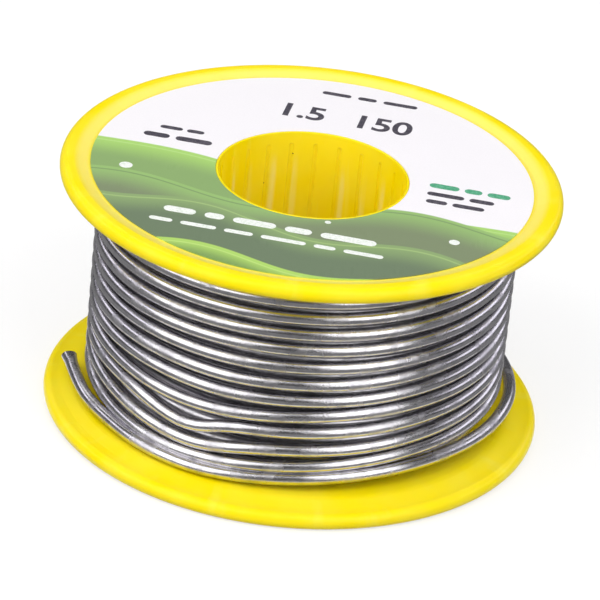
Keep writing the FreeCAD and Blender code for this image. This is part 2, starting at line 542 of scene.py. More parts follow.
@dataclass(frozen=True)
class MouldedPlastic(Finish):
    """Glossy moulded polystyrene with flow streaks, scuffs, a few dark grains, painted highlights in the
    bore and a painted sheen inside the upper rim.
    """

    colour: Colour  # the plastic where it is thick and clean
    streak: Colour  # the paler plastic in the streaks of the mould's flow
    grain: Colour  # the colour of a dark grain
    glow: float  # the share of light that spreads under the surface
    painted_sheen_tint: Colour  # the pale tint of the painted highlights in the bore and of the painted sheen on the upper rim's inner slope
    flutes: int  # how many flutes the bore has

    def draw(self, board: NodeBoard, shader: Inputs) -> None:
        """Streaks run outwards on the flanges and along the bore.

        Args:
            board: the material's nodes.
            shader: the inputs of its shader.
        """
        place = board.place_mm()
        x, y, z = board.split(place)
        radius = board.calc("SQRT", board.calc("ADD", board.product(x, x), board.product(y, y)))
        angle = board.calc("ARCTAN2", y, x)
        along = board.combine(board.product(angle, 9.0), board.product(radius, 0.12), board.product(z, 0.1))
        streaks = board.ramp(board.noise(along, 1.0, 3.0, 0.55), 0.5, 0.78, 0.0, 0.5)
        clouds = board.ramp(board.noise(place, 0.16, 2.0, 0.5), 0.35, 0.65, 0.0, 0.22)
        colour = board.mix(board.calc("MAXIMUM", streaks, clouds), self.colour, self.streak)
        # Painted highlights: pale streaks along the bore's flutes, in a pale tint
        colour = board.mix(self.painted_flute_highlights(board, radius, angle, z), colour, self.painted_sheen_tint)
        # Painted sheen: a pale reflection on the slope inside the upper rim, in the same tint
        colour = board.mix(self.painted_rim_sheen(board, radius, z), colour, self.painted_sheen_tint)
        specks = board.group(SPECKS, **{"Place": place, "Per mm": 0.34, "Size": 0.035, "Share": 0.16})
        colour = board.mix(specks.outputs["Mask"], colour, self.grain)
        board.feed(shader["Base Color"], colour)
        scuffs = board.group(SCUFFS, **{"Place": place, "Line scale": 2.2, "Patch scale": 0.25})
        dull = board.calc("MULTIPLY_ADD", scuffs.outputs["Mask"], 0.25, self.roughness)
        board.feed(shader["Roughness"], dull)
        skin = board.noise(place, 1.3, 3.0, 0.5)
        height = board.calc("MULTIPLY_ADD", scuffs.outputs["Mask"], -0.35, skin)
        board.feed(shader["Normal"], board.bump(height, 0.012 * MM, 0.6))
        shader["Subsurface Weight"].default_value = self.glow
        shader["Subsurface Radius"].default_value = (1.0, 0.7, 0.1)
        shader["Subsurface Scale"].default_value = 0.9 * MM
        shader["IOR"].default_value = 1.5
        shader["Specular IOR Level"].default_value = 0.15

    def painted_flute_highlights(self, board: NodeBoard, radius: Socket, angle: Socket, z: Socket) -> Socket:
        """Painted highlights as pale streaks along the bore's flutes.

        Args:
            board: the material's nodes.
            radius: distance from the bore's axis in millimetres.
            angle: the angle round the bore.
            z: height in millimetres.

        Returns:
            The painted highlights' strength.
        """
        turn = board.product(angle, self.flutes / (2 * math.pi))
        wander = board.noise(board.combine(turn, board.product(z, 0.05), 3.0), 0.9)
        near = board.calc("PINGPONG", board.calc("MULTIPLY_ADD", wander, 0.5, turn), 0.5)
        line = board.ramp(near, 0.2, 0.02)
        kept = board.ramp(wander, 0.42, 0.6)
        inside = board.ramp(radius, 11.1, 10.9)
        off = board.calc("ABSOLUTE", board.calc("SUBTRACT", z, SPOOL_MIDDLE * PER_MM))
        middle = board.ramp(off, 12.6, 9.0)
        return board.product(line, kept, inside, middle, 0.75)

    def painted_rim_sheen(self, board: NodeBoard, radius: Socket, z: Socket) -> Socket:
        """Painted sheen: a pale reflection on the slope inside the upper rim.

        Args:
            board: the material's nodes.
            radius: distance from the bore's axis in millimetres.
            z: height in millimetres.

        Returns:
            How strong the painted sheen is.
        """
        inner = board.ramp(radius, 24.6, 25.4)
        outer = board.ramp(radius, 26.9, 25.9)
        return board.product(inner, outer, board.ramp(z, 29.2, 29.5), 0.45)


@dataclass(frozen=True)
class DrawnSolder(Finish):
    """Bright drawn tin-lead wire, with lines along it and grainy rubbed spots."""

    colour: Colour  # the clean metal
    oxide: Colour  # the duller metal where it has tarnished
    length: float  # the length of the wire that the piece's map covers, in millimetres
    girth: float  # the way round the wire, in millimetres

    def draw(self, board: NodeBoard, shader: Inputs) -> None:
        """Lines follow the piece's own map, whose X goes round the wire and whose Y goes along it.

        Args:
            board: the material's nodes.
            shader: the inputs of its shader.
        """
        place = board.place_mm()
        chart = board.add("ShaderNodeUVMap", uv_map="UVMap").outputs["UV"]
        along = board.vector("MULTIPLY", chart, (self.girth * 3.2, self.length * 0.22, 1.0))
        lines = board.noise(along, 1.0, 3.0, 0.6)
        grains = board.noise(place, 5.2, 1.0, 0.5)
        patches = board.ramp(board.noise(place, 0.3), 0.48, 0.66)
        tarnish = board.ramp(board.noise(place, 0.6), 0.42, 0.75, 0.0, 0.5)
        board.feed(shader["Base Color"], board.mix(tarnish, self.colour, self.oxide))
        shader["Metallic"].default_value = 1.0
        rough = board.calc("MULTIPLY_ADD", patches, 0.10, self.roughness)
        board.feed(shader["Roughness"], board.calc("MULTIPLY_ADD", lines, 0.06, rough))
        grit = board.product(board.ramp(grains, 0.42, 0.68), board.calc("MULTIPLY_ADD", patches, 0.8, 0.04))
        height = board.calc("MULTIPLY_ADD", grit, 1.5, board.product(lines, 0.25))
        board.feed(shader["Normal"], board.bump(height, 0.014 * MM, 0.8))


@dataclass(frozen=True)
class PrintedPaper(Finish):
    """White coated paper, printed with rolling green bands."""

    paper: Colour  # the bare paper
    bands: tuple["PrintBand", ...]  # the bands from the highest to the lowest

    def draw(self, board: NodeBoard, shader: Inputs) -> None:
        """Each band covers what lies below its own rolling edge.

        Args:
            board: the material's nodes.
            shader: the inputs of its shader.
        """
        place = board.place_mm()
        turn = board.add("ShaderNodeVectorRotate", rotation_type="Z_AXIS")
        board.feed(turn.inputs["Vector"], place)
        turn.inputs["Angle"].default_value = math.radians(-PRINT_TURNED_DEG)
        across, up, _ = board.split(turn.outputs[0])
        colour: object = self.paper
        for band in self.bands:
            colour = band.draw(board, across, up, colour)
        fibres = board.noise(place, 5.0, 3.0, 0.6)
        colour = board.mix(board.ramp(fibres, 0.4, 0.75, 0.0, 0.05), colour, seen(150, 150, 150))
        board.feed(shader["Base Color"], colour)
        scuffs = board.group(SCUFFS, **{"Place": place, "Line scale": 1.4, "Patch scale": 0.2})
        dull = board.calc("MULTIPLY_ADD", scuffs.outputs["Mask"], 0.2, self.roughness)
        board.feed(shader["Roughness"], dull)
        height = board.calc("MULTIPLY_ADD", fibres, 0.06, board.noise(place, 0.3))
        board.feed(shader["Normal"], board.bump(height, 0.06 * MM, 0.5))
        shader["IOR"].default_value = 1.45


@dataclass(frozen=True)
class PrintBand:
    """One rolling band of the label's print.

    Lengths are in millimetres on the print. The names in capitals are the same for every band.
    """

    edge: float  # height of the band's edge at the bore's axis
    slope: float  # rise of the edge per millimetre to the right
    swell: float  # height of the edge's waves
    wave: float  # length of one wave
    shift: float  # how far the waves are moved to the right
    top: Colour  # the colour along the edge
    deep: Colour  # the colour well below the edge
    fade: float  # depth over which the colour goes from one to the other
    line: Colour  # the colour of the thin line under the edge
    line_share: float  # how strong that line is

    EDGE_BLUR = 0.12  # over how much the edge goes from nothing to the full colour, to each side
    LINE_DEPTH = 0.75  # how far the thin line lies under the edge
    LINE_HALF = 0.2  # half the thin line's width, where it fades out

    def draw(self, board: NodeBoard, across: Socket, up: Socket, below: object) -> Socket:
        """Lays the band over what is already printed.

        Args:
            board: the material's nodes.
            across: place to the right on the print.
            up: place up the print.
            below: the colour that the band covers.

        Returns:
            The colour with the band on it.
        """
        phase = board.product(board.calc("SUBTRACT", across, self.shift), 2 * math.pi / self.wave)
        waves = board.product(board.calc("SINE", phase), self.swell)
        line = board.calc("MULTIPLY_ADD", across, self.slope, self.edge)
        depth = board.calc("SUBTRACT", board.calc("ADD", line, waves), up)
        inside = board.ramp(depth, -self.EDGE_BLUR, self.EDGE_BLUR)
        shade = board.mix(board.ramp(depth, 0.0, self.fade), self.top, self.deep)
        off = board.calc("ABSOLUTE", board.calc("SUBTRACT", depth, self.LINE_DEPTH))
        contour = board.ramp(off, self.LINE_HALF, self.LINE_HALF * 0.3, 0.0, self.line_share)
        return board.mix(inside, below, board.mix(contour, shade, self.line))


@dataclass(frozen=True)
class PrintInk(Finish):
    """Screen-printed ink with a slightly mottled cover."""

    colour: Colour  # the ink where it is full
    thin: Colour  # the ink where less of it lies

    def draw(self, board: NodeBoard, shader: Inputs) -> None:
        """Mottles the ink at the scale of a printing screen.

        Args:
            board: the material's nodes.
            shader: the inputs of its shader.
        """
        place = board.place_mm()
        mottle = board.noise(place, 3.5, 2.0, 0.6)
        board.feed(shader["Base Color"], board.mix(board.ramp(mottle, 0.4, 0.7), self.colour, self.thin))
        board.feed(shader["Roughness"], board.calc("MULTIPLY_ADD", mottle, 0.1, self.roughness))


@dataclass(frozen=True)
class RosinCore(Finish):
    """Amber rosin, clear at its edge and clouded in the middle."""

    colour: Colour  # the rosin
    cloud: Colour  # where it is clouded

    def draw(self, board: NodeBoard, shader: Inputs) -> None:
        """Clouds the rosin at a tenth of a millimetre.

        Args:
            board: the material's nodes.
            shader: the inputs of its shader.
        """
        place = board.place_mm()
        clouds = board.ramp(board.noise(place, 6.0), 0.4, 0.6)
        board.feed(shader["Base Color"], board.mix(clouds, self.colour, self.cloud))
        specks = board.group(SPECKS, **{"Place": place, "Per mm": 5.0, "Size": 0.2, "Share": 0.3})
        dull = board.calc("MULTIPLY_ADD", specks.outputs["Mask"], 0.3, self.roughness)
        board.feed(shader["Roughness"], dull)
        shader["Subsurface Weight"].default_value = 0.3
        shader["Subsurface Radius"].default_value = (1.0, 0.5, 0.2)
        shader["Subsurface Scale"].default_value = 0.3 * MM


YELLOW_PLASTIC = MouldedPlastic(
    name="yellow_moulded_plastic",
    roughness=0.3,
    colour=seen(253, 227, 1),
    streak=seen(255, 238, 84),
    grain=seen(90, 60, 10),
    glow=0.25,
    # pale tint of the painted highlights in the bore and the painted sheen inside the upper rim
    painted_sheen_tint=seen(255, 240, 150),
    flutes=24,
)

GREEN_PRINT = PrintedPaper(
    name="green_printed_paper",
    roughness=0.42,
    paper=seen(247, 244, 247),
    bands=(
        PrintBand(
            edge=-3.1, slope=-0.14, swell=1.4, wave=44.0, shift=-25.0,
            top=seen(170, 214, 112), deep=seen(140, 172, 108),
            fade=5.0, line=seen(200, 230, 150), line_share=0.5,
        ),
        PrintBand(
            edge=-7.4, slope=0.05, swell=1.9, wave=33.0, shift=4.0,
            top=seen(152, 190, 114), deep=seen(128, 142, 108),
            fade=5.5, line=seen(96, 116, 88), line_share=0.5,
        ),
        PrintBand(
            edge=-13.4, slope=-0.10, swell=1.5, wave=25.0, shift=9.0,
            top=seen(142, 170, 112), deep=seen(110, 128, 100),
            fade=5.0, line=seen(190, 220, 140), line_share=0.4,
        ),
        PrintBand(
            edge=-22.2, slope=0.0, swell=1.6, wave=27.0, shift=-15.8,
            top=seen(176, 216, 104), deep=seen(128, 162, 90),
            fade=3.0, line=seen(214, 240, 150), line_share=0.4,
        ),
    ),
)

GREY_INK = PrintInk("grey_print_ink", 0.4, seen(62, 58, 70), seen(98, 94, 104))
GREEN_INK = PrintInk("green_print_ink", 0.4, seen(70, 160, 120), seen(110, 186, 150))
WHITE_INK = PrintInk("white_print_ink", 0.4, seen(246, 248, 244), seen(224, 234, 220))
AMBER_ROSIN = RosinCore("amber_rosin", 0.3, seen(176, 118, 44), seen(202, 160, 92))
SOLDER_COLOUR = seen(214, 212, 216)
SOLDER_OXIDE = seen(158, 156, 162)


def solder(name: str, length: float, roughness: float = 0.21) -> bpy.types.Material:
    """The wire's material, for a piece whose map covers a length of wire in metres."""
    girth = 2 * math.pi * WIRE_RADIUS
    return DrawnSolder(name, roughness, SOLDER_COLOUR, SOLDER_OXIDE, length * PER_MM, girth * PER_MM).make()


def dress(piece: Piece, material: bpy.types.Material) -> None:
    """Gives a piece one material.

    Args:
        piece: the piece.
        material: the material that covers all of it.
    """
    piece.data.materials.clear()
    piece.data.materials.append(material)
    LOG.info("%s wears %s", piece.name, material.name)


# The wire

@dataclass(frozen=True)
class WireRun:
    """A length of round wire that follows a smooth line through control points."""

    name: str  # the piece's name
    points: tuple[Vector, ...]  # the control points of the wire's centre line
    steps: int  # divisions of the line per control point
    side_steps: int  # how finely the wire is rounded

    def make(self) -> tuple[Piece, list[Vector]]:
        """Makes the wire.

        Returns:
            The wire's mesh object, and the points of its centre line from end to end.
        """
        line = self.line()
        path = self.measured(line)
        return self.thicken(line), path

    def line(self) -> Piece:
        """Makes the centre line as a curve with no thickness.

        Returns:
            The curve object, linked to the scene.
        """
        curve = bpy.data.curves.new(self.name, "CURVE")
        curve.dimensions = "3D"
        curve.twist_mode = "Z_UP"
        curve.resolution_u = self.steps
        spline = curve.splines.new("NURBS")
        spline.points.add(len(self.points) - 1)
        for corner, place in zip(spline.points, self.points):
            corner.co = (*place, 1.0)
        spline.order_u = 3
        spline.use_endpoint_u = True
        spline.resolution_u = self.steps
        line = bpy.data.objects.new(self.name, curve)
        bpy.context.scene.collection.objects.link(line)
        bpy.context.view_layer.update()
        return line

    def measured(self, line: Piece) -> list[Vector]:
        """Reads the points of the smooth line from its curve.

        Args:
            line: the curve, still without thickness.

        Returns:
            Points from end to end.
        """
        mesh = bpy.data.meshes.new_from_object(line)
        points = [vertex.co.copy() for vertex in mesh.vertices]
        bpy.data.meshes.remove(mesh)
        return points

    def thicken(self, line: Piece) -> Piece:
        """Gives the line its thickness and makes it a closed mesh.

        Args:
            line: the curve that the wire follows.

        Returns:
            The wire as a mesh object, smooth all over but for its two cut faces.
        """
        line.data.bevel_depth = WIRE_RADIUS
        line.data.bevel_resolution = self.side_steps
        line.data.use_fill_caps = True
        pick(line)
        bpy.ops.object.convert(target="MESH")
        wire = bpy.context.object
        pick(wire)
        bpy.ops.object.mode_set(mode="EDIT")
        bpy.ops.mesh.select_all(action="SELECT")
        bpy.ops.mesh.remove_doubles(threshold=WELD)
        bpy.ops.mesh.normals_make_consistent(inside=False)
        bpy.ops.object.mode_set(mode="OBJECT")
        bpy.ops.object.shade_smooth_by_angle(angle=SMOOTH_BELOW)
        return settle(wire, self.name)


def run_length(points: list[Vector]) -> float:
    """The length of a line through points."""
    return sum((b - a).length for a, b in zip(points, points[1:]))


@dataclass(frozen=True)
class Sag:
    """A place where one turn has slipped out of its row."""

    turn: int  # which turn, counted from the lowest
    at_deg: float  # the angle where it is furthest out
    before_deg: float  # width of the slip on the clockwise side
    after_deg: float  # width of the slip on the other side
    rise: float  # how far the turn has moved up, or down if negative
    out: float = 0.0  # how far it has moved away from the axis

    def share(self, turn: int, angle_deg: float) -> float:
        """How much of the slip there is at a place on the winding.

        Args:
            turn: which turn, counted from the lowest.
            angle_deg: the angle round the bore.

        Returns:
            A share from 0 to 1.
        """
        if turn != self.turn:
            return 0.0
        off = (angle_deg - self.at_deg + 180) % 360 - 180
        width = self.before_deg if off < 0 else self.after_deg
        return math.exp(-(off / width) ** 2)


@dataclass(frozen=True)
class Reel:
    """The room for the wire, measured once from the CAD nodes."""

    turn_radius: float  # radius of the outer turns, to the wire's centre
    floor: float  # height of the lower flange's inner face
    ceiling: float  # height of the upper flange's inner face

    @classmethod
    def measure(cls) -> "Reel":
        """Reads the room from the frame's boxes."""
        low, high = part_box("wire_inner_layers")
        return cls(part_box("wire_outer_layer")[1].x - WIRE_RADIUS, low.z, high.z)


@dataclass(frozen=True)
class Winding:
    """The wound wire: the outer turns, the layer that shows between them and the core below."""

    reel: Reel  # the room that the wire is wound in
    pitch: float = 1.97 * MM  # rise per turn
    turns: int = 11  # turns of the outer layer
    start_deg: float = 90.0  # angle of the outer layer's lower end
    start_rise: float = 2.55 * MM  # height of that end above the lower flange's inner face
    straight: float = 1.5 * MM  # length of the straight ends of the outer layer
    jog_radius: float = 3.0 * MM  # radius of the arc in which its upper end turns inwards
    jog_deg: float = 60.0  # how far that arc turns
    tilt: float = 0.28 * MM  # how much higher the turns lie at +X than at -X
    waver: float = 0.07 * MM  # unevenness of the rows
    waver_deg: float = 430.0  # angle over which the unevenness changes along the wire
    calm_deg: float = 40.0  # angle from each end over which tilt and unevenness set in
    step_deg: float = 6.0  # angle between control points
    under_gap: float = 0.05 * MM  # space between the outer layer and the one under it
    core_gap: float = 0.35 * MM  # how far the core reaches between the turns of that layer
    core_sides: int = 96  # how many sides the core has
    # The places where turns have slipped down, at the front left
    sags: tuple[Sag, ...] = (
        Sag(2, 242.0, 16.0, 9.0, -1.6 * MM, 0.1 * MM),
        Sag(1, 241.0, 30.0, 15.0, -1.5 * MM),
        Sag(0, 232.0, 36.0, 26.0, -1.25 * MM),
        Sag(0, 264.0, 30.0, 30.0, -0.75 * MM),
        Sag(1, 262.0, 24.0, 50.0, -0.75 * MM),
        Sag(2, 262.0, 24.0, 34.0, -0.5 * MM),
        Sag(3, 243.0, 26.0, 34.0, -0.9 * MM),
        Sag(4, 256.0, 24.0, 50.0, -0.42 * MM),
        Sag(5, 258.0, 20.0, 50.0, -0.35 * MM),
        Sag(6, 262.0, 24.0, 50.0, -0.2 * MM),
    )

    def outer_point(self, travel_deg: float) -> Vector:
        """A point of the outer layer's centre line.

        Args:
            travel_deg: the angle travelled from the lower end.

        Returns:
            The point, with the slips, the tilt and the unevenness of hand-guided wire.
        """
        angle = self.start_deg + travel_deg
        left_deg = 360.0 * self.turns - travel_deg
        ends = min(1.0, travel_deg / self.calm_deg, left_deg / self.calm_deg)
        turn = int(travel_deg // 360.0)
        height = self.reel.floor + self.start_rise + self.pitch * travel_deg / 360.0
        radius = self.reel.turn_radius
        height += ends * self.tilt * math.cos(math.radians(angle))
        height += ends * self.waver * noise.noise(polar(angle, 1.3, travel_deg / self.waver_deg))
        for sag in self.sags:
            share = sag.share(turn, angle)
            height += sag.rise * share
            radius += sag.out * share
        return polar(angle, radius, height)

    def outer_points(self) -> tuple[Vector, ...]:
        """Lays out the outer layer, with straight ends and the turn inwards at the top.

        Returns:
            Its control points, from the lower end to the upper one.
        """
        count = int(360.0 * self.turns / self.step_deg)
        points = [self.outer_point(i * self.step_deg) for i in range(count + 1)]
        ahead = Vector((-1.0, 0.0, self.pitch / (2 * math.pi * self.reel.turn_radius))).normalized()
        inwards = Vector((0.0, -1.0, 0.0))
        first = points[0] - ahead * self.straight
        last = points[-1] + ahead * self.straight
        jog = []
        for share in (0.25, 0.5, 0.75, 1.0):
            a = math.radians(self.jog_deg) * share
            along = ahead * (self.jog_radius * math.sin(a))
            jog.append(last + along + inwards * (self.jog_radius * (1 - math.cos(a))))
        return (first, *points, last, *jog)

    def under_points(self) -> tuple[Vector, ...]:
        """Lays out the layer below, which is wound the other way.

        Returns:
            Its control points, from the lower end to the upper one.
        """
        radius = self.reel.turn_radius - 2 * WIRE_RADIUS - self.under_gap
        low = self.reel.floor + WIRE_RADIUS
        high = self.reel.ceiling - WIRE_RADIUS
        turns = (high - low) / self.pitch
        count = int(360.0 * turns / (2 * self.step_deg))
        points = []
        for i in range(count + 1):
            share = i / count
            angle = self.start_deg - 360.0 * turns * share
            wander = noise.noise(polar(angle, 1.0, share * 9.0))
            height = low + (high - low) * share + self.waver * wander * math.sin(math.pi * share)
            points.append(polar(angle, radius, height))
        return tuple(points)

    def core(self) -> Piece:
        """Makes the wire below the two modelled layers, as a plain drum between the flanges.

        Returns:
            The drum, open at the hub.
        """
        outer_r = self.reel.turn_radius - 4 * WIRE_RADIUS + self.core_gap
        depth = self.reel.ceiling - self.reel.floor
        start_piece()
        bpy.ops.mesh.primitive_cylinder_add(
            vertices=self.core_sides, radius=outer_r, depth=depth, end_fill_type="NOTHING",
            location=(0.0, 0.0, self.reel.floor + depth / 2),
        )
        drum = bpy.context.object
        add_modifier(drum, "SOLIDIFY", thickness=outer_r - HUB_RADIUS, offset=-1.0, use_even_offset=True)
        bpy.ops.object.shade_smooth_by_angle(angle=SMOOTH_BELOW)
        return settle(drum, "wire_core_drum")

    def build(self) -> None:
        """Makes the wound wire, dresses it and lets it ride on the spool."""
        turns, path = WireRun("wound_outer_turns", self.outer_points(), 2, 5).make()
        length = run_length(path)
        dress(turns, solder("bright_solder_outer", length))
        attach(turns, Body.SPOOL.value)
        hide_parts("wire_outer_layer")
        LOG.info("outer layer: %d turns, %.3f m of wire", self.turns, length)
        layer, path = WireRun("wound_under_layer", self.under_points(), 2, 3).make()
        length = run_length(path)
        dress(layer, solder("bright_solder_under", length, 0.3))
        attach(layer, Body.SPOOL.value)
        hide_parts("wire_inner_layers")
        drum = self.core()
        dress(drum, solder("bright_solder_core", length, 0.35))
        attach(drum, Body.SPOOL.value)


@dataclass(frozen=True)
class LooseWire:
    """The slack last turn and the cut free end, as one wire."""

    radius: float = WIRE_RADIUS  # radius of the wire
    # Where the wire leaves the winding, and the route's next corner, straight behind it
    exit: tuple[float, float, float] = (0.0014999, 0.0231, 0.0049296)
    first_corner: tuple[float, float, float] = (0.0118989, 0.0231, 0.0047885)
    # The other corners as angle, radius and height
    corners: tuple[tuple[float, float, float], ...] = (
        (34.0, 0.02590, 0.00450),
        (6.0, 0.02578, 0.00450),
        (-22.0, 0.02506, 0.00475),
        (-51.0, 0.02420, 0.00465),
        (-80.0, 0.02406, 0.00405),
        (-108.0, 0.02440, 0.00325),
        (-130.0, 0.02444, 0.00322),
        (-153.0, 0.02450, 0.00342),
        (-166.0, 0.02495, 0.00372),
        (-178.5, 0.02555, 0.00382),
    )
    length: float = 0.1128  # the wire's length from the exit to the cut
    flare: float = 1.22  # how much wider than the wire the pinched tip is
    squeeze: float = 0.88  # how much lower than the wire the pinched tip is
    tip_reach: float = 1.6 * MM  # how far the pinch reaches from the cut
    core_radius: float = 0.25 * MM  # radius of the hole for the rosin
    core_depth: float = 0.4 * MM  # depth of that hole
    bend_turn_deg: float = 20.0  # how far the line across which the wire bends is turned from -X
    bend_before: float = 1.5 * MM  # how far before the hinge the bend starts
    bend_after: float = 3.5 * MM  # how far past the hinge the bend ends

    def points(self) -> tuple[Vector, ...]:
        """The route's corners from the winding to the cut."""
        return (Vector(self.exit), Vector(self.first_corner), *(polar(*corner) for corner in self.corners))

    def shape_tip(self, wire: Piece, path: list[Vector]) -> None:
        """Pinches the cut end as side cutters do, and opens the hole for the rosin.

        Args:
            wire: the wire's mesh object.
            path: the points of its centre line.
        """
        tip = path[-1]
        along = (path[-1] - path[-2]).normalized()
        side = along.cross(Vector((0.0, 0.0, 1.0))).normalized()
        above = side.cross(along)
        for vertex in wire.data.vertices:
            off = vertex.co - tip
            # The rest of the route comes back ahead of the tip, and isn't pinched
            if off.length > 3 * self.tip_reach:
                continue
            back = -off.dot(along)
            share = max(0.0, 1 - back / self.tip_reach)
            share = share * share * (3 - 2 * share)
            wide = off.dot(side) * (self.flare - 1) * share
            low = off.dot(above) * (self.squeeze - 1) * share
            vertex.co += side * wide + above * low
        pick(wire)
        # The cut is the only face that has its middle at the tip
        select_faces(wire, [(face.center - tip).length < self.radius * 0.2 for face in wire.data.polygons])
        bpy.ops.object.mode_set(mode="EDIT")
        bpy.ops.mesh.select_mode(type="FACE")
        bpy.ops.mesh.inset(thickness=self.radius - self.core_radius)
        bpy.ops.mesh.extrude_region_move(TRANSFORM_OT_translate={"value": tuple(-along * self.core_depth)})
        bpy.ops.object.mode_set(mode="OBJECT")

    def build(self, bend: dict) -> None:
        """Makes the loose wire and dresses it.

        Args:
            bend: the frame's hinge at which the free end bends; not used.
        """
        wire, path = WireRun("loose_wire", self.points(), 12, 6).make()
        self.shape_tip(wire, path)
        measured = run_length(path)
        dress(wire, solder("bright_solder_loose", measured))
        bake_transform(wire)
        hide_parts("wire_loose_turn", "wire_free_end")
        LOG.info("loose wire: %.4f m from the winding to the cut", measured)


# The spool and its label

@dataclass(frozen=True)
class SpoolBody:
    """The two halves of the moulded spool and the small solids that keep their CAD shape."""

    stub_length: float = 2.0 * MM  # length of the wire's inner end in its anchor hole

    def build(self) -> None:
        """Dresses the CAD nodes that stay."""
        plastic = YELLOW_PLASTIC.make()
        for name in ("spool_lower_half", "spool_upper_half"):
            dress(frame["nodes"][name], plastic)
        stub = solder("bright_solder_stub", self.stub_length)
        dress(frame["nodes"]["wire_inner_end"], stub)
        dress(frame["nodes"]["flux_core_tip"], AMBER_ROSIN.make())


@dataclass(frozen=True)
class MarkRow:
    """A row of printed bars of several lengths, like the words of a line. Lengths are in millimetres."""

    left: float  # where the row starts, to the right of the bore's axis
    up: float  # place of its middle, up the print
    widths: tuple[float, ...]  # the lengths of its bars
    gap: float  # the space between them
    height: float  # their thickness

    def spans(self) -> list[tuple[float, float]]:
        """Lays the row's bars out from left to right.

        Returns:
            The middle and the length of each bar.
        """
        spans = []
        left = self.left
        for width in self.widths:
            spans.append((left + width / 2, width))
            left += width + self.gap
        return spans


@dataclass(frozen=True)
class Number:
    """A plain number printed on the label. Lengths are in millimetres."""

    text: str  # the number
    across: float  # place of its middle, to the right
    up: float  # place of its middle, up the print
    height: float  # height of its figures


